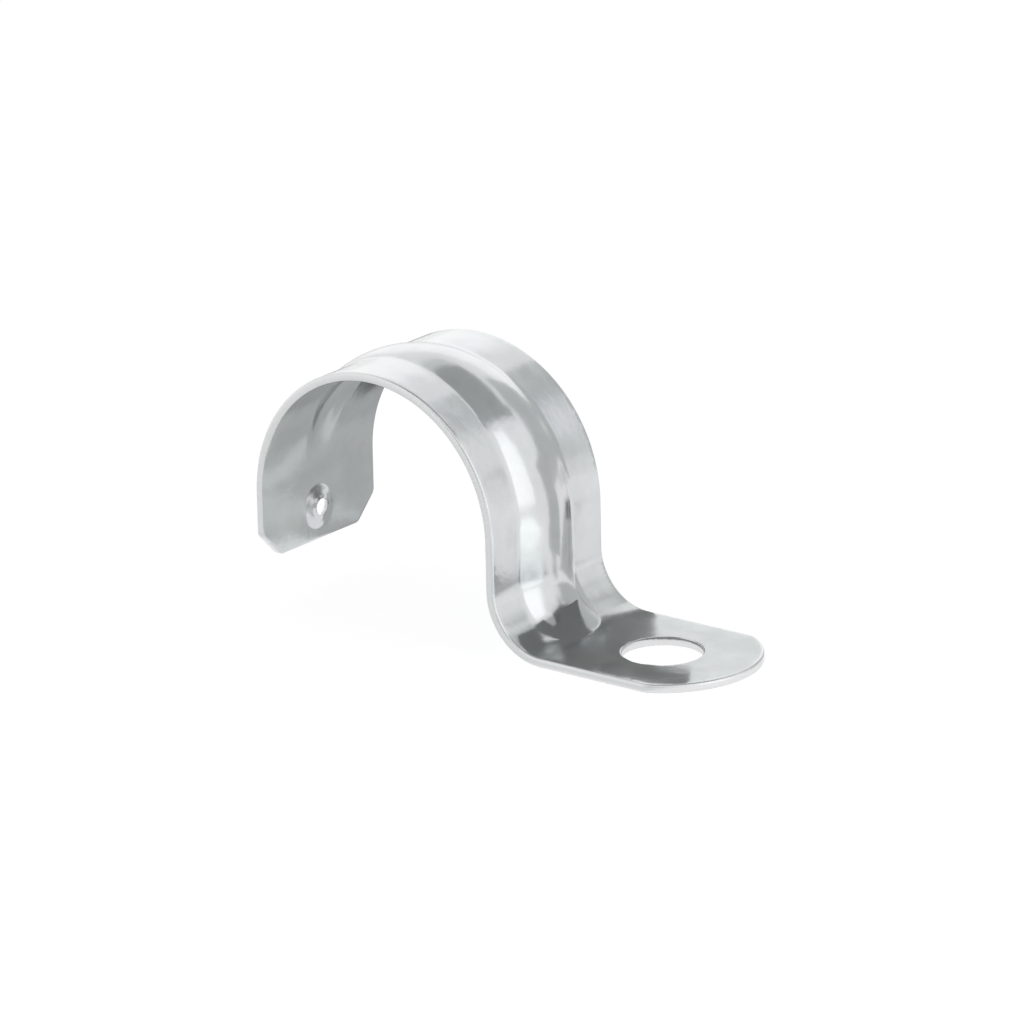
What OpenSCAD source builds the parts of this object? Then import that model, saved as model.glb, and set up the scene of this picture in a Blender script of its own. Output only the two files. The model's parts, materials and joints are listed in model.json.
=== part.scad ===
// One-hole clip-on conduit strap, stamped and bent from a single strip of sheet steel.
//
// Frame: millimetres. The origin lies on the conduit's axis, at the middle of the strap's width.
// X runs along the strap, from the short leg (-X) to the drilled foot (+X), Y is the conduit's
// axis, and Z points away from the wall.

/* [Strip] */
// Width of the strip, along the conduit
strap_w = 18.5; // [16:0.1:20]
// Thickness of the sheet
sheet_t = 0.9; // [0.7:0.05:1.2]

/* [Arch] */
// Inside radius of the arch, a hair over half of the conduit's diameter
seat_r = 14.8; // [13:0.1:18]
// Height of the conduit's axis above the underside of the foot
axis_h = 11.9; // [10:0.1:16]

/* [Short leg] */
// Height of the short leg's end above the underside of the foot
tip_h = 4.4; // [2:0.1:5]
// Size of the corner chamfers, across the strip
chamfer_y = 2.8; // [1:0.1:4]
// Size of the corner chamfers, up the leg
chamfer_z = 2.75; // [1:0.05:4]

/* [Foot] */
// Radius of the concave bend between the long leg and the foot, on its open side
bend_r = 6; // [4:0.1:8]
// Distance of the foot's end from the conduit's axis
foot_x = 40.9; // [38:0.1:50]
// Radius of the arc that ends the foot
foot_end_r = 10.3; // [10.1:0.1:16]
// Distance of the fixing hole from the conduit's axis
hole_x = 30.4; // [28:0.1:33]
// Diameter of the fixing hole
hole_d = 8.4; // [4:0.1:9]

/* [Stiffening rib] */
// Radius of the rib's crown, across the strip
crown_r = 9; // [7:0.1:12]
// Height of the rib over the top of the arch
rib_h = 0.6; // [0.5:0.05:0.8]
// How much higher the rib stands on the long leg than over the top
rib_rise = 0.45; // [0.35:0.05:0.6]
// Angle on the arch at which the rib starts to sink, counted up from the foot side
fade_a = 110; // [100:1:115]
// How far the centre of the sinking arc is moved towards that angle
fade_k = 0.87; // [0.85:0.01:0.9]
// Angle that the rib turns in the concave bend before it runs straight down to the foot
nose_a = 49; // [45:1:52]

/* [Retaining dimple] */
// Height of the dimple's centre above the underside of the foot
dimple_z = 8; // [7:0.1:9]
// Diameter of the dimple at the inner face of the leg
dimple_d = 4.4; // [3:0.1:5]
// How far the dimple stands in towards the conduit
dimple_h = 0.38; // [0.2:0.01:0.5]
// Diameter of the small hole pierced in the dimple
pierce_d = 1.8; // [1.2:0.1:2.2]

/* [Hidden] */
$fn = 96;
outer_r = seat_r + sheet_t;
foot_z = -axis_h;
tip_z = foot_z + tip_h;
// centre of the concave bend, and the end of the blank before its arc is cut
bend_x = outer_r + bend_r;
bend_z = foot_z + sheet_t + bend_r;
blank_x = foot_x + 1;
// depth of the bulge's underside below the sheet's outer face, where it stays inside the sheet
core_u = -0.65;
// the same for the sinking arc, which is not concentric with the sheet, and the angle where it ends
fade_u = -0.2;
fade_end = 184;
// depth of the groove cutter's underside, clear of the sheet
clear_u = -sheet_t - 1.5;
// length of the rib's straight nose, which ends below the foot
nose_l = 5;
// sphere that the dimple's inner face is part of
dimple_r = (pow(dimple_d / 2, 2) + pow(dimple_h, 2)) / (2 * dimple_h);
dimple_x = -seat_r + dimple_h - dimple_r;
steel = [0.78, 0.79, 0.80];

// Side view of the sheet, drawn in X and Z: short leg, arch, long leg, bend and foot.
module side_profile() {
    difference() {
        circle(r = outer_r);
        circle(r = seat_r);
        translate([-2 * outer_r, -2 * outer_r]) square([4 * outer_r, 2 * outer_r]);
    }
    translate([-outer_r, tip_z]) square([sheet_t, -tip_z]);
    translate([seat_r, bend_z]) square([sheet_t, -bend_z]);
    intersection() {
        difference() {
            translate([bend_x, bend_z]) circle(r = bend_r + sheet_t);
            translate([bend_x, bend_z]) circle(r = bend_r);
        }
        translate([seat_r, foot_z]) square([bend_r + sheet_t, bend_r + sheet_t]);
    }
    translate([bend_x, foot_z]) square([blank_x - bend_x, sheet_t]);
}

// The plain bent strip, full width, with a square end on the foot.
module bent_strip() {
    rotate([90, 0, 0])
        linear_extrude(height = strap_w, center = true)
            side_profile();
}

// Section of the rib: a slice of a circle, whose X is the height above the sheet's outer face.
// The rib and its groove share the circle's centre, so the wall between them is one sheet thick.
module rib_section(radius, floor_u) {
    intersection() {
        translate([rib_h - crown_r, 0]) circle(r = radius);
        translate([floor_u, -strap_w / 2]) square([crown_r, strap_w]);
    }
}

// The same section on the long leg and in the bend, where the rib stands higher.
module leg_section(radius, floor_u) {
    translate([rib_rise, 0]) rib_section(radius, floor_u);
}

// Turns a section about an axis along Y that passes through X, Z.
module turned(x, z, from, sweep) {
    translate([x, 0, z])
        rotate([90, 0, 0])
            rotate([0, 0, from])
                rotate_extrude(angle = sweep)
                    children();
}

// Rib over the arch: quarter turn on the foot side, a short flat, then on to where it sinks.
module arch_rib(radius, floor_u) {
    turned(rib_rise, 0, 0, 90)
        translate([outer_r, 0]) rib_section(radius, floor_u);
    translate([0, 0, outer_r])
        rotate([90, 0, 90])
            linear_extrude(height = rib_rise)
                rotate(90) rib_section(radius, floor_u);
    turned(0, 0, 90, fade_a - 90)
        translate([outer_r, 0]) rib_section(radius, floor_u);
}

// End of the rib on the short-leg side: a tighter arc that dives under the sheet's face and
// runs out just below the arch, so that the groove parts the arch's two flanges all the way.
module fading_rib(radius, floor_u) {
    turned(fade_k * cos(fade_a), fade_k * sin(fade_a), fade_a, fade_end - fade_a)
        translate([outer_r - fade_k, 0]) rib_section(radius, floor_u);
}

// Rib down the long leg and round the first part of the concave bend.
module leg_rib(radius, floor_u) {
    translate([outer_r, 0, bend_z])
        linear_extrude(height = -bend_z)
            leg_section(radius, floor_u);
    turned(bend_x, bend_z, 180, nose_a)
        translate([bend_r, 0]) mirror([1, 0]) leg_section(radius, floor_u);
}

// Blunt nose of the rib: it leaves the bend on a straight line and dives into the foot.
module nose_rib(radius, floor_u) {
    translate([bend_x, 0, bend_z])
        rotate([0, -nose_a, 0])
            translate([-bend_r, 0, -nose_l])
                linear_extrude(height = nose_l)
                    leg_section(radius, floor_u);
}

// What the rib adds outside the sheet. Its nose is cut off at the middle of the foot's thickness.
module rib_bulge() {
    arch_rib(crown_r, core_u);
    fading_rib(crown_r, fade_u);
    leg_rib(crown_r, core_u);
    intersection() {
        nose_rib(crown_r, core_u);
        translate([seat_r, -strap_w / 2, foot_z + sheet_t / 2]) cube([bend_x, strap_w, axis_h]);
    }
}

// What the rib takes away inside the sheet.
module rib_groove() {
    arch_rib(crown_r - sheet_t, clear_u);
    fading_rib(crown_r - sheet_t, clear_u);
    leg_rib(crown_r - sheet_t, clear_u);
    nose_rib(crown_r - sheet_t, clear_u);
}

// Cuts the foot's end to its arc.
module foot_end_cut() {
    translate([foot_x - foot_end_r, 0, foot_z - 1])
        linear_extrude(height = sheet_t + 2)
            difference() {
                translate([0, -strap_w]) square([2 * foot_end_r, 2 * strap_w]);
                circle(r = foot_end_r);
            }
}

// Fixing hole through the foot.
module fixing_hole() {
    translate([hole_x, 0, foot_z - 1]) cylinder(d = hole_d, h = sheet_t + 2);
}

// Takes one corner off the short leg. Side is 1 or -1.
module corner_cut(side) {
    inner_y = side * (strap_w / 2 - chamfer_y);
    edge_y = side * strap_w / 2;
    clear_y = side * (strap_w / 2 + 1);
    translate([-outer_r - 1, 0, tip_z])
        rotate([90, 0, 90])
            linear_extrude(height = sheet_t + 2)
                polygon([[inner_y, 0], [inner_y, -1], [clear_y, -1], [clear_y, chamfer_z], [edge_y, chamfer_z]]);
}

// Stands a piece on the dimple's own axis, with Z pointing in towards the conduit.
module on_dimple_axis() {
    translate([dimple_x, 0, foot_z + dimple_z]) rotate([0, 90, 0]) children();
}

// Cap that the dimple adds to the leg's inner face. Its flat side lies inside the sheet.
module dimple_cap() {
    on_dimple_axis()
        intersection() {
            sphere(r = dimple_r, $fn = 240);
            translate([0, 0, -outer_r + sheet_t / 2 - dimple_x]) cylinder(r = dimple_r, h = dimple_r);
        }
}

// Hollow behind the dimple, one sheet thickness inside its cap, and the hole through it.
module dimple_hollow() {
    on_dimple_axis() sphere(r = dimple_r - sheet_t, $fn = 240);
    on_dimple_axis() cylinder(d = pierce_d, h = 2 * dimple_r);
}

// The whole strap, one piece of sheet.
module strap() {
    color(steel)
        difference() {
            union() {
                bent_strip();
                rib_bulge();
                dimple_cap();
            }
            rib_groove();
            foot_end_cut();
            fixing_hole();
            corner_cut(1);
            corner_cut(-1);
            dimple_hollow();
        }
}

strap();
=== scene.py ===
import json
import math

import bpy
from mathutils import Matrix, Vector
from mathutils.geometry import delaunay_2d_cdt
from mathutils.kdtree import KDTree


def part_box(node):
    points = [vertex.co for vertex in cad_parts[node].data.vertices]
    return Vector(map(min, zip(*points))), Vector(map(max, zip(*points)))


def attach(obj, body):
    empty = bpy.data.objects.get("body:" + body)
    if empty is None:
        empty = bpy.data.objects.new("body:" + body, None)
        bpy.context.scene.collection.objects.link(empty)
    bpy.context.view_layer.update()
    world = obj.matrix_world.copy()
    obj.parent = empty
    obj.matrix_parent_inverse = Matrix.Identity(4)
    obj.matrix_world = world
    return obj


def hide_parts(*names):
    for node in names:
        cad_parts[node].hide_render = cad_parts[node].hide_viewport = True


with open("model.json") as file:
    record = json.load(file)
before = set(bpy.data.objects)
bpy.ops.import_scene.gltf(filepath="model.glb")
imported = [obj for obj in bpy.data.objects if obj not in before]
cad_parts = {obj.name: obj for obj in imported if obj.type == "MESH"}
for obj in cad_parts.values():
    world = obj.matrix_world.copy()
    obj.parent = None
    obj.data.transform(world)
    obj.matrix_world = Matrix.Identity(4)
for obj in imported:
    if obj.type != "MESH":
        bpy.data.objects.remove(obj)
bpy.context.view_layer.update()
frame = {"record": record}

MM = 0.001

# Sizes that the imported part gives.
MOUNTS = {mount["name"]: mount for mount in frame["record"]["mounts"]}
SEAT_RADIUS = MOUNTS["conduit_seat"]["dims"]["r_mm"] * MM
HALF_WIDTH = MOUNTS["conduit_seat"]["dims"]["length_mm"] * MM / 2
HOLE_RADIUS = MOUNTS["fixing_hole"]["dims"]["r_mm"] * MM
HOLE_X = MOUNTS["fixing_hole"]["pos_m"][0]
SHEET = MOUNTS["fixing_hole"]["dims"]["length_mm"] * MM
WALL_Z = MOUNTS["wall_face"]["pos_m"][2]
FOOT_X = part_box("strap")[1].x

# Sizes of the pressed and bent strip that the mounts don't give, as in the part's source.
TIP_Z = WALL_Z + 4.4 * MM
CHAMFER_Y = 2.8 * MM
CHAMFER_Z = 2.75 * MM
BEND_OPEN_RADIUS = 6.0 * MM
FOOT_END_RADIUS = 10.3 * MM
RIB_CROWN_RADIUS = 9.0 * MM
RIB_HEIGHT = 0.59 * MM
RIB_RISE = 0.45 * MM
RIB_DRIFT = 0.3 * MM
RIB_FADE_ANGLE = math.radians(110)
RIB_FADE_DROP = 0.95 * MM
NOSE_ANGLE = math.radians(49)
DIMPLE_Z = WALL_Z + 8.0 * MM
DIMPLE_RADIUS = 2.35 * MM
DIMPLE_HEIGHT = 0.42 * MM
PIERCE_RADIUS = 0.9 * MM

# Lengths along the underside of the flat blank, from the short leg's end to the foot's end.
BEND_RADIUS = BEND_OPEN_RADIUS + SHEET
SHORT_LEG = -TIP_Z
ARCH_LENGTH = math.pi * SEAT_RADIUS
LONG_LEG = -(WALL_Z + BEND_RADIUS)
BEND_LENGTH = math.pi / 2 * BEND_RADIUS
FOOT_START = SHORT_LEG + ARCH_LENGTH + LONG_LEG + BEND_LENGTH
BEND_END_X = SEAT_RADIUS + BEND_RADIUS

# How the press leaves the edges: rolled over on the outer face, nearly sharp on the other.
ROLL_OVER = 0.3 * MM
BURR_EDGE = 0.07 * MM
PIERCE_ROLL = 0.12 * MM
ROLL_STEPS = 6

# Spacing of the blank's points, fine where the press works the sheet.
FINE_STEP = 0.2 * MM
COARSE_STEP = 0.36 * MM


def blank_s(x):
    """Place on the blank of a point on the foot, X in the part's frame."""
    return FOOT_START + x - BEND_END_X


def soften(points, reach, least_turn=math.radians(12)):
    """Rounds the real corners of a closed outline, and leaves the steps of its arcs alone."""
    rounded = []
    for i, point in enumerate(points):
        before = (points[i - 1] - point).normalized()
        after = (points[(i + 1) % len(points)] - point).normalized()
        if before.angle(-after) < least_turn:
            rounded.append(point)
            continue
        start, end = point + before * reach, point + after * reach
        for step in range(7):
            t = step / 6
            rounded.append(start * (1 - t) ** 2 + point * (2 * t * (1 - t)) + end * t ** 2)
    return rounded


def divide(points, longest):
    """Splits the long sides of a closed outline into even steps."""
    divided = []
    for i, point in enumerate(points):
        following = points[(i + 1) % len(points)]
        steps = max(1, math.ceil((following - point).length / longest))
        divided += [point.lerp(following, step / steps) for step in range(steps)]
    return divided


def circle(centre, radius, count):
    """Closed round outline, counter-clockwise."""
    turns = [2 * math.pi * i / count for i in range(count)]
    return [centre + Vector((math.cos(turn), math.sin(turn))) * radius for turn in turns]


def blank_outline():
    """Outline of the flat blank, counter-clockwise, with S along the strip and Y across it."""
    arc_s = blank_s(FOOT_X) - FOOT_END_RADIUS
    half_turn = math.asin(HALF_WIDTH / FOOT_END_RADIUS)
    arc = []
    for i in range(49):
        turn = half_turn * (i / 24 - 1)
        arc.append(Vector((arc_s, 0)) + Vector((math.cos(turn), math.sin(turn))) * FOOT_END_RADIUS)
    corners = [Vector((0, CHAMFER_Y - HALF_WIDTH)), Vector((CHAMFER_Z, -HALF_WIDTH))]
    mirrored = [Vector((corner.x, -corner.y)) for corner in reversed(corners)]
    return divide(soften(corners + arc + mirrored, 0.45 * MM), 0.3 * MM)


def into_material(loop, is_hole):
    """For each point of a loop, the direction that leads into the sheet, in plan."""
    directions = []
    for i in range(len(loop)):
        along = (loop[(i + 1) % len(loop)] - loop[i - 1]).normalized()
        inward = Vector((-along.y, along.x))
        directions.append(-inward if is_hole else inward)
    return directions


def stations(length):
    """Places of the inner points along the strip, closer where it is pressed or sharply bent."""
    places = [FINE_STEP]
    bend_start = FOOT_START - BEND_LENGTH
    while places[-1] < length:
        s = places[-1]
        pressed = s < SHORT_LEG or bend_start - MM < s < FOOT_START
        places.append(s + (FINE_STEP if pressed else COARSE_STEP))
    return places


def rows():
    """Places of the inner points across the strip, closer over the rib and its creases."""
    places = [0.0]
    while places[-1] < HALF_WIDTH:
        y = places[-1]
        places.append(y + (FINE_STEP if y < 5.4 * MM else COARSE_STEP))
    return [-y for y in reversed(places[1:])] + places


def flat_blank():
    """The punched blank before it is pressed and bent: a closed mesh with rolled edges.

    X is the place along the strip, Y across it, and Z up from its conduit side. The attribute
    cut_edge is 1 on the punched edges and 0 on the two faces."""
    hole_centre = Vector((blank_s(HOLE_X), 0))
    pierce_centre = Vector((DIMPLE_Z - TIP_Z, 0))
    loops = [
        (blank_outline(), False, ROLL_OVER),
        (circle(hole_centre, HOLE_RADIUS, 112), True, ROLL_OVER),
        (circle(pierce_centre, PIERCE_RADIUS, 40), True, PIERCE_ROLL),
    ]
    open_circles = [
        (hole_centre, HOLE_RADIUS + ROLL_OVER / 2),
        (pierce_centre, PIERCE_RADIUS + PIERCE_ROLL / 2),
    ]
    plan, edges, ranges = [], [], []
    for loop, is_hole, roll in loops:
        first = len(plan)
        ways = into_material(loop, is_hole)
        plan += [point + way * roll for point, way in zip(loop, ways)]
        edges += [(first + i, first + (i + 1) % len(loop)) for i in range(len(loop))]
        ranges.append((first, len(loop), ways))

    rim = KDTree(len(plan))
    for i, point in enumerate(plan):
        rim.insert((point.x, point.y, 0), i)
    rim.balance()
    end_s = blank_s(FOOT_X)
    arc_s = end_s - FOOT_END_RADIUS
    for s in stations(end_s):
        for y in rows():
            if rim.find((s, y, 0))[2] < 0.16 * MM:
                continue
            in_width = abs(y) < HALF_WIDTH - ROLL_OVER
            in_chamfer = s / CHAMFER_Z + (HALF_WIDTH - abs(y)) / CHAMFER_Y > 1 + ROLL_OVER / MM / 1.9
            in_arc = s < arc_s or math.hypot(s - arc_s, y) < FOOT_END_RADIUS - ROLL_OVER
            off_hole = math.hypot(s - hole_centre.x, y) > HOLE_RADIUS + ROLL_OVER
            off_pierce = math.hypot(s - pierce_centre.x, y) > PIERCE_RADIUS + PIERCE_ROLL
            if in_width and in_chamfer and in_arc and off_hole and off_pierce and s > ROLL_OVER:
                plan.append(Vector((s, y)))

    cut = delaunay_2d_cdt(plan, edges, [], 2, 1e-7)
    face_points, triangles, came_from = cut[0], cut[2], cut[3]
    placed = {}
    for new, olds in enumerate(came_from):
        for old in olds:
            placed[old] = new
    count = len(face_points)
    vertices = [(point.x, point.y, SHEET) for point in face_points]
    vertices += [(point.x, point.y, 0.0) for point in face_points]
    cut_edge = [0.0] * len(vertices)
    faces = []
    for triangle in triangles:
        a, b, c = (face_points[i] for i in triangle)
        middle = (a + b + c) / 3
        if any((middle - centre).length < radius for centre, radius in open_circles):
            continue
        turned = (b - a).cross(c - a) < 0
        top = tuple(reversed(triangle)) if turned else tuple(triangle)
        faces.append(top)
        faces.append(tuple(count + i for i in reversed(top)))

    for (loop, is_hole, roll), (first, size, ways) in zip(loops, ranges):
        section = []
        for step in range(1, ROLL_STEPS + 1):
            turn = math.pi / 2 * step / ROLL_STEPS
            section.append((roll * (1 - math.sin(turn)), SHEET - roll * (1 - math.cos(turn)), step / ROLL_STEPS))
        section.append((0.0, SHEET * 0.4, 1.0))
        for step in range(4):
            turn = math.pi / 2 * step / 3
            section.append((BURR_EDGE * (1 - math.cos(turn)), BURR_EDGE * (1 - math.sin(turn)), 1.0 - step / 3))
        upper = [placed[first + i] for i in range(size)]
        lower = [count + i for i in upper]
        rings = [upper]
        for inset, height, share in section:
            ring = []
            for point, way in zip(loop, ways):
                at = point + way * inset
                ring.append(len(vertices))
                vertices.append((at.x, at.y, height))
                cut_edge.append(share)
            rings.append(ring)
        rings.append(lower)
        for above, below in zip(rings, rings[1:]):
            for i in range(size):
                j = (i + 1) % size
                quad = (above[i], below[i], below[j], above[j])
                faces.append(tuple(reversed(quad)) if is_hole else quad)

    mesh = bpy.data.meshes.new("flat_blank")
    mesh.from_pydata(vertices, [], faces)
    mesh.attributes.new("cut_edge", "FLOAT", "POINT").data.foreach_set("value", cut_edge)
    mesh.polygons.foreach_set("use_smooth", [True] * len(mesh.polygons))
    mesh.validate()
    blank = bpy.data.objects.new("flat_blank", mesh)
    bpy.context.scene.collection.objects.link(blank)
    return blank


class Bench:
    """Writes sums as nodes in a tree. A value is a number or a socket."""

    def __init__(self, tree):
        self.tree = tree

    def node(self, kind, **inputs):
        made = self.tree.nodes.new(kind)
        for name, value in inputs.items():
            self.feed(made.inputs[name.replace("_", " ")], value)
        return made

    def feed(self, socket, value):
        if isinstance(value, bpy.types.NodeSocket):
            self.tree.links.new(value, socket)
        else:
            socket.default_value = value

    def sum(self, operation, *values):
        made = self.tree.nodes.new("ShaderNodeMath")
        made.operation = operation
        for socket, value in zip(made.inputs, values):
            self.feed(socket, value)
        return made.outputs[0]

    def between(self, value, low, high):
        return self.sum("MINIMUM", self.sum("MAXIMUM", value, low), high)

    def smooth_step(self, value, start, end, low=0.0, high=1.0):
        made = self.tree.nodes.new("ShaderNodeMapRange")
        made.interpolation_type = "SMOOTHSTEP"
        for socket, part in zip(made.inputs, (value, start, end, low, high)):
            self.feed(socket, part)
        return made.outputs[0]


PRESS_SIZES = {
    "Seat Radius": SEAT_RADIUS,
    "Short Leg": SHORT_LEG,
    "Long Leg": LONG_LEG,
    "Bend Radius": BEND_RADIUS,
    "Bend Open Radius": BEND_OPEN_RADIUS,
    "Tip Height": TIP_Z,
    "Rib Crown Radius": RIB_CROWN_RADIUS,
    "Rib Height": RIB_HEIGHT,
    "Rib Rise": RIB_RISE,
    "Rib Drift": RIB_DRIFT,
    "Rib Fade Angle": RIB_FADE_ANGLE,
    "Rib Fade Drop": RIB_FADE_DROP,
    "Rib Nose Angle": NOSE_ANGLE,
    "Rib Crease On Top": 0.22 * MM,
    "Rib Crease On Leg": 0.42 * MM,
    "Dimple Place": DIMPLE_Z - TIP_Z,
    "Dimple Radius": DIMPLE_RADIUS,
    "Dimple Height": DIMPLE_HEIGHT,
    "Dimple Crease": 0.1 * MM,
    "Dimple Lip": 0.1 * MM,
    "Pierce Radius": PIERCE_RADIUS,
    "Pierce Thinning": 0.62,
}


def press_tree():
    """Node tree that presses the rib and the dimple into the flat blank and bends it to shape."""
    tree = bpy.data.node_groups.new("press_and_bend", "GeometryNodeTree")
    face = tree.interface
    face.new_socket(name="Blank", in_out="INPUT", socket_type="NodeSocketGeometry")
    for name in PRESS_SIZES:
        face.new_socket(name=name, in_out="INPUT", socket_type="NodeSocketFloat")
    face.new_socket(name="Finish", in_out="INPUT", socket_type="NodeSocketMaterial")
    face.new_socket(name="Strap", in_out="OUTPUT", socket_type="NodeSocketGeometry")
    bench = Bench(tree)
    sum_, size = bench.sum, tree.nodes.new("NodeGroupInput").outputs

    place = tree.nodes.new("ShaderNodeSeparateXYZ")
    position = tree.nodes.new("GeometryNodeInputPosition").outputs[0]
    tree.links.new(position, place.inputs[0])
    s, y, n = place.outputs

    # how far each stretch of the strip is used up at s
    seat = size["Seat Radius"]
    up = sum_("MINIMUM", s, size["Short Leg"])
    past_leg = sum_("SUBTRACT", s, size["Short Leg"])
    arch_turn = bench.between(sum_("DIVIDE", past_leg, seat), 0.0, math.pi)
    past_arch = sum_("SUBTRACT", past_leg, sum_("MULTIPLY", seat, math.pi))
    down = bench.between(past_arch, 0.0, size["Long Leg"])
    past_long = sum_("SUBTRACT", past_arch, size["Long Leg"])
    bend_turn = bench.between(sum_("DIVIDE", past_long, size["Bend Radius"]), 0.0, math.pi / 2)
    past_bend = sum_("SUBTRACT", past_long, sum_("MULTIPLY", size["Bend Radius"], math.pi / 2))
    out = sum_("MAXIMUM", past_bend, 0.0)

    # height of the rib's crest along the strip
    left_of_leg = sum_("DIVIDE", sum_("SUBTRACT", size["Short Leg"], up), seat)
    arch_angle = sum_("ADD", sum_("SUBTRACT", math.pi, arch_turn), left_of_leg)
    foot_side = sum_("MAXIMUM", sum_("COSINE", arch_angle), 0.0)
    crest = sum_("MULTIPLY_ADD", size["Rib Rise"], foot_side, size["Rib Height"])
    faded = sum_("MAXIMUM", sum_("SUBTRACT", arch_angle, size["Rib Fade Angle"]), 0.0)
    fade = sum_("MULTIPLY", size["Rib Fade Drop"], sum_("SUBTRACT", 1.0, sum_("COSINE", faded)))
    nosed = sum_("MAXIMUM", sum_("SUBTRACT", bend_turn, size["Rib Nose Angle"]), 0.0)
    to_centre = sum_("SUBTRACT", size["Bend Open Radius"], sum_("ADD", size["Rib Height"], size["Rib Rise"]))
    stretch = sum_("SUBTRACT", sum_("DIVIDE", 1.0, sum_("COSINE", nosed)), 1.0)
    crest = sum_("SUBTRACT", sum_("SUBTRACT", crest, fade), sum_("MULTIPLY", to_centre, stretch))

    # section of the rib across the strip, blended into the flanges
    crown = size["Rib Crown Radius"]
    off_rib = sum_("MULTIPLY_ADD", size["Rib Drift"], foot_side, y)
    chord = sum_("SUBTRACT", sum_("MULTIPLY", crown, crown), sum_("MULTIPLY", off_rib, off_rib))
    bulge = sum_("SQRT", sum_("MAXIMUM", chord, 0.0))
    bulge = sum_("SUBTRACT", bulge, sum_("SUBTRACT", crown, crest))
    softer = sum_("SUBTRACT", size["Rib Crease On Leg"], size["Rib Crease On Top"])
    crease = sum_("MULTIPLY_ADD", softer, foot_side, size["Rib Crease On Top"])
    rib = sum_("SMOOTH_MAX", bulge, 0.0, crease)

    # dimple: a shallow cap towards the conduit, thinned and lipped round its pierced hole
    from_dimple = sum_("SUBTRACT", s, size["Dimple Place"])
    radial = sum_("ADD", sum_("MULTIPLY", from_dimple, from_dimple), sum_("MULTIPLY", y, y))
    high = size["Dimple Height"]
    foot = sum_("MULTIPLY", size["Dimple Radius"], size["Dimple Radius"])
    ball = sum_("DIVIDE", sum_("ADD", foot, sum_("MULTIPLY", high, high)), sum_("MULTIPLY", 2.0, high))
    cap = sum_("SUBTRACT", sum_("MULTIPLY", ball, ball), radial)
    cap = sum_("SQRT", sum_("MAXIMUM", cap, 0.0))
    cap = sum_("SUBTRACT", cap, sum_("SUBTRACT", ball, high))
    cap = sum_("SMOOTH_MAX", cap, 0.0, size["Dimple Crease"])
    radius = sum_("SQRT", radial)
    pierce = size["Pierce Radius"]
    near_hole = bench.smooth_step(radius, sum_("MULTIPLY", pierce, 2.1), pierce)
    thinned = sum_("SUBTRACT", 1.0, sum_("MULTIPLY", size["Pierce Thinning"], near_hole))
    at_lip = bench.smooth_step(radius, sum_("MULTIPLY", pierce, 1.5), pierce)
    cap = sum_("MULTIPLY_ADD", size["Dimple Lip"], at_lip, cap)

    # height over the strip's underside, then the bent place
    height = sum_("MULTIPLY_ADD", n, thinned, sum_("SUBTRACT", rib, cap))
    heading = sum_("ADD", sum_("SUBTRACT", math.pi / 2, arch_turn), bend_turn)
    bend = size["Bend Radius"]
    x = sum_("SUBTRACT", 0.0, sum_("MULTIPLY", seat, sum_("COSINE", arch_turn)))
    x = sum_("MULTIPLY_ADD", bend, sum_("SUBTRACT", 1.0, sum_("COSINE", bend_turn)), x)
    x = sum_("SUBTRACT", sum_("ADD", x, out), sum_("MULTIPLY", sum_("SINE", heading), height))
    z = sum_("MULTIPLY_ADD", seat, sum_("SINE", arch_turn), sum_("ADD", size["Tip Height"], up))
    z = sum_("SUBTRACT", sum_("SUBTRACT", z, down), sum_("MULTIPLY", bend, sum_("SINE", bend_turn)))
    z = sum_("MULTIPLY_ADD", sum_("COSINE", heading), height, z)

    marked = tree.nodes.new("GeometryNodeStoreNamedAttribute")
    marked.data_type = "FLOAT_VECTOR"
    marked.domain = "POINT"
    marked.inputs["Name"].default_value = "strip_place"
    tree.links.new(size["Blank"], marked.inputs["Geometry"])
    tree.links.new(position, marked.inputs["Value"])
    bent = tree.nodes.new("ShaderNodeCombineXYZ")
    for socket, value in zip(bent.inputs, (x, y, z)):
        tree.links.new(value, socket)
    moved = bench.node("GeometryNodeSetPosition", Geometry=marked.outputs[0], Position=bent.outputs[0])
    real = bench.node("GeometryNodeRealizeInstances", Geometry=moved.outputs[0])
    dressed = bench.node("GeometryNodeSetMaterial", Geometry=real.outputs[0], Material=size["Finish"])
    done = tree.nodes.new("NodeGroupOutput")
    tree.links.new(dressed.outputs[0], done.inputs[0])
    return tree


def press(blank, finish):
    """Runs the blank through the press tree and gives back a plain mesh object."""
    tree = press_tree()
    modifier = blank.modifiers.new("press_and_bend", "NODES")
    modifier.node_group = tree
    for item in tree.interface.items_tree:
        if item.name in PRESS_SIZES:
            modifier[item.identifier] = PRESS_SIZES[item.name]
        elif item.name == "Finish":
            modifier[item.identifier] = finish
    graph = bpy.context.evaluated_depsgraph_get()
    mesh = bpy.data.meshes.new_from_object(blank.evaluated_get(graph))
    mesh.name = "pressed_strap"
    blank.modifiers.remove(modifier)
    bpy.data.objects.remove(blank)
    strap = bpy.data.objects.new("pressed_strap", mesh)
    bpy.context.scene.collection.objects.link(strap)
    return strap


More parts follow.
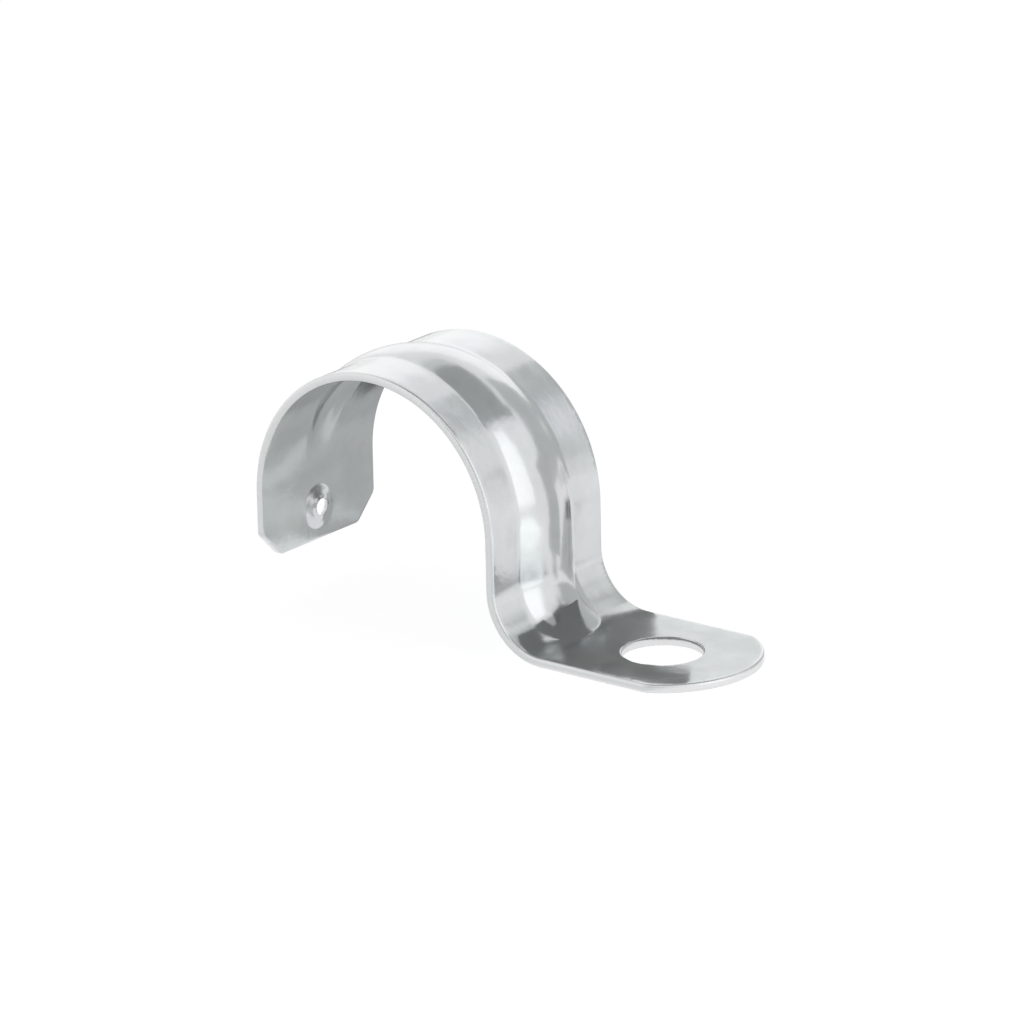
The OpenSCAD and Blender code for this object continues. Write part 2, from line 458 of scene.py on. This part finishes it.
def zinc_plate():
    """Bright zinc on sheet steel: soft mottling, faint rolling lines and a thin film's tint."""
    material = bpy.data.materials.new("zinc_plate")
    material.use_nodes = True
    tree = material.node_tree
    tree.nodes.clear()
    bench = Bench(tree)
    links = tree.links
    shader = tree.nodes.new("ShaderNodeBsdfPrincipled")
    shader.inputs["Metallic"].default_value = 1.0
    output = tree.nodes.new("ShaderNodeOutputMaterial")
    links.new(shader.outputs[0], output.inputs[0])

    spot = tree.nodes.new("ShaderNodeTexCoord").outputs["Object"]
    strip = tree.nodes.new("ShaderNodeAttribute")
    strip.attribute_name = "strip_place"
    edge = tree.nodes.new("ShaderNodeAttribute")
    edge.attribute_name = "cut_edge"

    def noise(vector, scale, detail, roughness=0.5):
        made = bench.node("ShaderNodeTexNoise", Vector=vector, Scale=scale, Detail=detail, Roughness=roughness)
        return made.outputs[0]

    blotch = noise(spot, 260.0, 3.0)
    grain = noise(spot, 2600.0, 2.0, 0.6)
    stretch = bench.node("ShaderNodeMapping", Vector=strip.outputs["Vector"])
    stretch.inputs["Scale"].default_value = (60.0, 2600.0, 400.0)
    rolling = noise(stretch.outputs[0], 1.0, 3.0, 0.6)
    across = bench.node("ShaderNodeMapping", Vector=strip.outputs["Vector"])
    across.inputs["Scale"].default_value = (5200.0, 5200.0, 500.0)
    shear = noise(across.outputs[0], 1.0, 2.0, 0.6)

    def mix(share, first, second):
        made = tree.nodes.new("ShaderNodeMix")
        made.data_type = "RGBA"
        for name, value in (("Factor", share), ("A", first), ("B", second)):
            socket = [item for item in made.inputs if item.name == name and item.enabled][0]
            bench.feed(socket, value)
        return [item for item in made.outputs if item.enabled][0]

    mottled = mix(bench.smooth_step(blotch, 0.3, 0.7), (0.645, 0.655, 0.665, 1), (0.715, 0.725, 0.73, 1))
    tint = tree.nodes.new("ShaderNodeValToRGB")
    ramp = tint.color_ramp
    ramp.elements[0].position, ramp.elements[0].color = 0.3, (0.62, 0.66, 0.76, 1)
    ramp.elements[1].position, ramp.elements[1].color = 0.7, (0.70, 0.64, 0.73, 1)
    ramp.elements.new(0.5).color = (0.64, 0.71, 0.67, 1)
    links.new(noise(spot, 110.0, 1.0), tint.inputs[0])
    filmed = mix(0.14, mottled, tint.outputs[0])
    colour = mix(edge.outputs["Fac"], filmed, (0.78, 0.78, 0.79, 1))
    links.new(colour, shader.inputs["Base Color"])

    face_rough = bench.smooth_step(blotch, 0.25, 0.75, 0.13, 0.18)
    face_rough = bench.sum("MULTIPLY_ADD", grain, 0.05, face_rough)
    edge_rough = bench.sum("MULTIPLY_ADD", shear, 0.12, 0.26)
    more = bench.sum("SUBTRACT", edge_rough, face_rough)
    links.new(bench.sum("MULTIPLY_ADD", more, edge.outputs["Fac"], face_rough), shader.inputs["Roughness"])

    relief = bench.sum("MULTIPLY_ADD", rolling, 0.18, bench.sum("MULTIPLY", grain, 0.15))
    relief = bench.sum("MULTIPLY_ADD", blotch, 2.4, relief)
    sheared = bench.sum("MULTIPLY", shear, bench.sum("MULTIPLY", edge.outputs["Fac"], 3.0))
    bump = bench.node("ShaderNodeBump", Height=bench.sum("ADD", relief, sheared))
    bump.inputs["Strength"].default_value = 1.0
    bump.inputs["Distance"].default_value = 0.02 * MM
    links.new(bump.outputs[0], shader.inputs["Normal"])
    return material


# The photograph's camera: a long lens, a little above the strap, turned towards the foot side.
AZIMUTH, ELEVATION, ROLL = (math.radians(angle) for angle in (38.26, 18.55, -1.2))
CAMERA_DISTANCE = 866.1 * MM
AIM = Vector((8.0, 0.0, -1.9)) * MM
PAN_RIGHT, PAN_UP = 2.41 * MM, 1.57 * MM
LENS = 293.3


def photograph_camera():
    back = Vector((
        math.sin(AZIMUTH) * math.cos(ELEVATION),
        -math.cos(AZIMUTH) * math.cos(ELEVATION),
        math.sin(ELEVATION),
    ))
    level = Vector((math.cos(AZIMUTH), math.sin(AZIMUTH), 0))
    upright = back.cross(level)
    right = level * math.cos(ROLL) + upright * math.sin(ROLL)
    up = upright * math.cos(ROLL) - level * math.sin(ROLL)
    data = bpy.data.cameras.new("photograph_camera")
    data.lens, data.sensor_width = LENS, 36.0
    data.clip_start, data.clip_end = 0.05, 20.0
    camera = bpy.data.objects.new("photograph_camera", data)
    bpy.context.scene.collection.objects.link(camera)
    turn = Matrix((right, up, back)).transposed().to_4x4()
    place = AIM + back * CAMERA_DISTANCE + right * PAN_RIGHT + up * PAN_UP
    camera.matrix_world = Matrix.Translation(place) @ turn
    bpy.context.scene.camera = camera


def card(name, corners, finish):
    """Flat card of the stage, from its corners in millimetres."""
    mesh = bpy.data.meshes.new(name)
    mesh.from_pydata([Vector(corner) * MM for corner in corners], [], [tuple(range(len(corners)))])
    mesh.materials.append(finish)
    made = bpy.data.objects.new(name, mesh)
    bpy.context.scene.collection.objects.link(made)
    return made


def upright(y, points):
    """Corners of a card that stands across the Y axis, from its X and Z."""
    return [(x, y, z) for x, z in points]


def rectangle(low, high):
    """The four corners between two opposite ones."""
    return [(low[0], low[1]), (high[0], low[1]), (high[0], high[1]), (low[0], high[1])]


def level_at(z, points):
    """Corners of a level card, from its X and Y."""
    return [(x, y, z) for x, y in points]


def lying(z, low, high):
    """Corners of a level rectangle, from its lowest and highest X and Y."""
    return level_at(z, rectangle(low, high))


def painted_reflection_card(name, corners, level, twice_only=False, from_below=False):
    """Studio card of painted light or shade that only the metal's reflections show; it lights nothing and casts
    no shadow. Level is its brightness, 1 for white.

    With twice_only it shows only where the metal mirrors the metal that mirrors the card. With
    from_below it is a level card with nothing on its upper side."""
    finish = bpy.data.materials.new(name)
    finish.use_nodes = True
    tree = finish.node_tree
    tree.nodes.clear()
    bench = Bench(tree)
    shown = bench.node("ShaderNodeEmission", Color=(0.97, 1.0, 0.99, 1), Strength=level).outputs[0]
    if twice_only or from_below:
        shows = mirrored_twice(bench) if twice_only else underside(bench)
        pick = tree.nodes.new("ShaderNodeMixShader")
        tree.links.new(shows, pick.inputs[0])
        tree.links.new(tree.nodes.new("ShaderNodeBsdfTransparent").outputs[0], pick.inputs[1])
        tree.links.new(shown, pick.inputs[2])
        shown = pick.outputs[0]
    output = tree.nodes.new("ShaderNodeOutputMaterial")
    tree.links.new(shown, output.inputs[0])
    made = card(name, corners, finish)
    made.visible_camera = False
    made.visible_diffuse = False
    made.visible_shadow = False
    return made


def underside(bench):
    """1 for rays that meet a level card from below."""
    return bench.tree.nodes.new("ShaderNodeNewGeometry").outputs["Backfacing"]


def mirrored_twice(bench):
    """1 for rays that the metal has mirrored more than once."""
    depth = bench.tree.nodes.new("ShaderNodeLightPath").outputs["Glossy Depth"]
    return bench.sum("GREATER_THAN", depth, 1.5)


def seen_directly(bench):
    """1 for rays from the camera and for mirrored ones, 0 for the light that falls on things."""
    path = bench.tree.nodes.new("ShaderNodeLightPath").outputs
    seen = bench.sum("MAXIMUM", path["Is Camera Ray"], path["Is Glossy Ray"])
    return bench.sum("MAXIMUM", seen, path["Is Transmission Ray"])


def floor_paper():
    """White paper that shows as the background, with the strap's soft shadow kept on it."""
    material = bpy.data.materials.new("floor_paper")
    material.use_nodes = True
    tree = material.node_tree
    tree.nodes.clear()
    bench = Bench(tree)
    paper = bench.node("ShaderNodeBsdfDiffuse", Color=(0.8, 0.8, 0.8, 1))
    shown = bench.node("ShaderNodeBsdfDiffuse", Color=(0.45, 0.45, 0.45, 1))
    glow = bench.node("ShaderNodeEmission", Color=(1, 1, 1, 1), Strength=0.8)
    both = tree.nodes.new("ShaderNodeAddShader")
    tree.links.new(shown.outputs[0], both.inputs[0])
    tree.links.new(glow.outputs[0], both.inputs[1])
    pick = tree.nodes.new("ShaderNodeMixShader")
    tree.links.new(seen_directly(bench), pick.inputs[0])
    tree.links.new(paper.outputs[0], pick.inputs[1])
    tree.links.new(both.outputs[0], pick.inputs[2])
    output = tree.nodes.new("ShaderNodeOutputMaterial")
    tree.links.new(pick.outputs[0], output.inputs[0])
    return material


def studio():
    """White surroundings, two soft lamps, a white floor and the cards that only the metal mirrors: painted light
    and shade in its reflections, with the room painted darker where the metal mirrors itself.
    """
    world = bpy.data.worlds.new("white_room")
    world.use_nodes = True
    bpy.context.scene.world = world
    tree = world.node_tree
    tree.nodes.clear()
    bench = Bench(tree)
    lit = bench.node("ShaderNodeBackground", Color=(1, 1, 1, 1), Strength=0.45)
    # Painted shade: the room shows a fifth darker where the metal mirrors itself.
    shade_where_mirrored_twice = bench.sum("MULTIPLY_ADD", mirrored_twice(bench), -0.2, 1.0)
    shown = bench.node("ShaderNodeBackground", Color=(1, 1, 1, 1), Strength=shade_where_mirrored_twice)
    pick = tree.nodes.new("ShaderNodeMixShader")
    tree.links.new(seen_directly(bench), pick.inputs[0])
    tree.links.new(lit.outputs[0], pick.inputs[1])
    tree.links.new(shown.outputs[0], pick.inputs[2])
    output = tree.nodes.new("ShaderNodeOutputWorld")
    tree.links.new(pick.outputs[0], output.inputs[0])

    floor_z = WALL_Z / MM
    card("floor", lying(floor_z, (-4000, -4000), (4000, 4000)), floor_paper())

    def softbox(name, centre, facing, width, height, level):
        data = bpy.data.lights.new(name, "AREA")
        data.shape = "RECTANGLE"
        data.size, data.size_y = width, height
        data.energy = level * math.pi * width * height
        made = bpy.data.objects.new(name, data)
        bpy.context.scene.collection.objects.link(made)
        made.location = centre
        made.rotation_mode = "QUATERNION"
        made.rotation_quaternion = (Vector(centre) - Vector(facing)).to_track_quat("Z", "Y")

    softbox("right_softbox", (0.44, 0.05, 0.26), (0, 0.05, 0.26), 0.2, 0.54, 0.42)
    softbox("back_softbox", (-0.24, 0.42, 0.17), AIM, 0.42, 0.26, 0.22)

    above_floor = floor_z + 0.05
    on_card = above_floor + 0.05
    screen = [
        (-42, floor_z), (250, floor_z), (256, 8), (226, 137),
        (163, 212), (100, 300), (-20, 300), (-42, 140),
    ]
    overhead = [(-106, -100), (200, -100), (200, 300), (135, 300), (120, 240), (-106, 240)]
    low = [(6, -9), (14.3, -9), (14.3, 2.2), (0, 2.2), (0, -2)]
    bend = [(3, -6), (12, -6), (12, -4), (17, -4), (17, -1.2), (13.9, -1.2), (13.9, 6.5), (3, 6.5)]
    nose = [(19.2, -1.6), (22, -2.5), (22.5, 5.5), (19, 5.5), (19, 0)]
    heel = [
        (18.2, -6.8), (23, -6.8), (23, 2.8), (17.8, 2.8),
        (17.8, -0.8), (19.4, -1.8), (19.4, -3), (18.2, -3.6),
    ]
    beside_hole = [(24, -3), (35.6, -3), (31.5, 3.4), (24, 3.4)]
    pale = [(0, 7), (10, 7), (10, 19), (-6, 19), (-6, 16.5), (0, 15.5)]
    crest_band = [(25.2, 8.4), (50, 40), (50, 46.5), (25.2, 14)]
    groove = [(-36, 29), (-20, 25.5), (-11, 25.5), (-14, 34), (-36, 42)]
    glow = [(90, -20, -5), (90, 45, -5), (90, 45, 60), (90, -20, 60)]

    painted_reflection_card("overhead_flag", level_at(300, overhead), 0.43)
    painted_reflection_card("overhead_shade", lying(300, (-190, -100), (-106.5, 240)), 0.76)
    painted_reflection_card("grey_screen", upright(300, screen), 0.6)
    painted_reflection_card("front_screen", upright(-400, rectangle((-50, 20), (350, 320))), 0.55)
    # Painted shade: dark cards close behind the strap and over the bend, which only the metal's reflections
    # show.
    painted_reflection_card("low_painted_shade", upright(20, low), 0.24)
    painted_reflection_card("bend_painted_shade", upright(14, bend), 0.18)
    # Painted shade in the corner between leg and foot and over the foot: dark cards that the metal sees only
    # from below.
    painted_reflection_card("nose_painted_shade", level_at(-7, nose), 0.16, from_below=True)
    painted_reflection_card("heel_painted_shade", level_at(-8.5, heel), 0.19, from_below=True)
    painted_reflection_card("hole_painted_shade", level_at(-8, beside_hole), 0.21, from_below=True)
    # Painted shade: grey cards beside the long leg and behind the strap, seen only in the metal's reflections.
    painted_reflection_card("crest_painted_shade", upright(4, rectangle((18, -4.8), (22, 9))), 0.6)
    painted_reflection_card("bend_card_painted_shade", upright(45, rectangle((46, 12), (62, 27.5))), 0.72)
    painted_reflection_card("dim_painted_shade", upright(20, rectangle((14.5, 0.5), (21, 3.5))), 0.82)
    painted_reflection_card("foot_screen_painted_shade", upright(45, rectangle((-4.7, 2), (12, 14))), 0.92)
    # Painted shade in the metal's reflections of itself: a dark card shown only after two mirrorings.
    painted_reflection_card("leg_painted_shade_twice", upright(45, rectangle((25, 9), (100, 110))), 0.22, twice_only=True)
    # Painted floor shade and one painted highlight: patches just over the floor that only the metal mirrors,
    # darker or brighter than the white floor the camera sees.
    painted_reflection_card("painted_floor_shade", lying(above_floor, (-4, 5), (25, 60)), 0.55)
    painted_reflection_card("painted_floor_shade_left", lying(above_floor, (-32, 9), (-4.1, 60)), 0.5)
    painted_reflection_card("painted_floor_pale", level_at(on_card, pale), 0.75)
    painted_reflection_card("painted_floor_front", lying(above_floor, (-90, -90), (44, -9.5)), 0.82)
    painted_reflection_card("painted_floor_rim", lying(above_floor, (-120, 60.5), (5, 160)), 0.3)
    painted_reflection_card("painted_floor_crest", level_at(above_floor, crest_band), 0.57)
    painted_reflection_card("painted_floor_highlight", lying(above_floor, (46, -12), (101, 16)), 1.45)
    # Painted shade: a dark patch on the floor mirrored as dark streaks in the arch's inner groove.
    painted_reflection_card("groove_painted_shade", level_at(on_card, groove), 0.16)
    # Painted highlight in the metal's reflections of itself: a bright glowing card shown only after two
    # mirrorings.
    painted_reflection_card("leg_painted_highlight_twice", glow, 1.6, twice_only=True)


zinc = zinc_plate()
strap = press(flat_blank(), zinc)
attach(strap, "root")
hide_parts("strap")

photograph_camera()
studio()

scene = bpy.context.scene
scene.view_settings.view_transform = "Standard"
